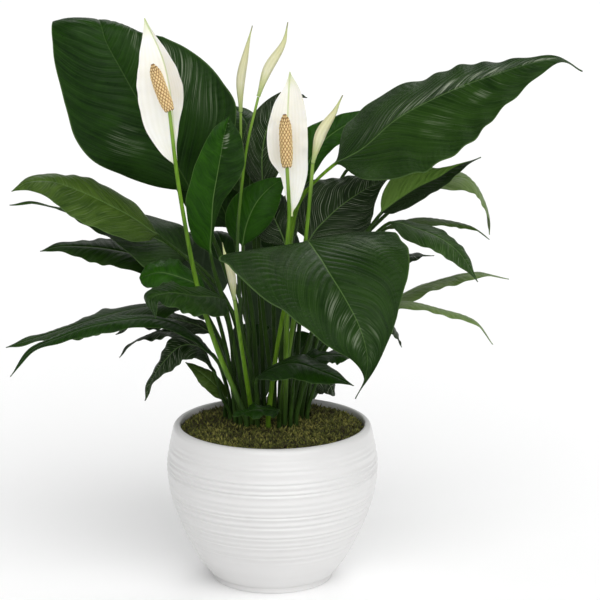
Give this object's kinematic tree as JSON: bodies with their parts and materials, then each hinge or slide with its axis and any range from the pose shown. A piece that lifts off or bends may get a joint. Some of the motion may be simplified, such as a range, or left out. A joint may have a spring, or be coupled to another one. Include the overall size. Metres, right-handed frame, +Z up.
{
  "type": "potted peace lily",
  "caption": "Potted peace lily: long-stalked glossy leaves, white hooded flowers and rolled buds, in a round ridged white ceramic pot with moss.",
  "frame": {"origin": "centre of the pot's foot, on the plane it rests on", "axes": "+Z up, the plant's pictured side towards -Y, +X to the right of that side"},
  "size_m": [0.5662, 0.3424, 0.5683],
  "materials": {
    "pot": "pearly satin glaze",
    "soil": "loose, matte",
    "moss": "fibrous, matte",
    "leaf": "glossy, veined",
    "stem": "satin",
    "spathe": "soft satin",
    "spadix": "bumpy, matte"
  },
  "bodies": {
    "root": {"pot": "pot", "soil": "soil", "moss": "moss", "leaf_01": "leaf", "leaf_02": "leaf", "leaf_03": "leaf", "leaf_04": "leaf", "leaf_05": "leaf", "leaf_06": "leaf", "leaf_07": "leaf", "leaf_08": "leaf", "leaf_09": "leaf", "leaf_10": "leaf", "leaf_11": "leaf", "leaf_12": "leaf", "leaf_13": "leaf", "leaf_14": "leaf", "leaf_15": "leaf", "leaf_16": "leaf", "leaf_17": "leaf", "leaf_18": "leaf", "leaf_19": "leaf", "leaf_20": "leaf", "leaf_21": "leaf", "leaf_22": "leaf", "leaf_23": "leaf", "leaf_24": "leaf", "leaf_25": "leaf", "leaf_26": "leaf", "leaf_27": "leaf", "leaf_28": "leaf", "leaf_29": "leaf", "leaf_30": "leaf", "leaf_31": "leaf", "leaf_32": "leaf", "leaf_33": "leaf", "leaf_34": "leaf", "leaf_35": "leaf", "leaf_36": "leaf", "leaf_37": "leaf", "leaf_38": "leaf", "leaf_39": "leaf", "leaf_40": "leaf", "flower_1_stem": "stem", "flower_1_spathe": "spathe", "flower_1_spadix": "spadix", "flower_2_stem": "stem", "flower_2_spathe": "spathe", "flower_2_spadix": "spadix", "bud_1_stem": "stem", "bud_1_spathe": "spathe", "bud_2_stem": "stem", "bud_2_spathe": "spathe", "bud_3_stem": "stem", "bud_3_spathe": "spathe", "bud_4_stem": "stem", "bud_4_spathe": "spathe"}
  },
  "joints": []
}
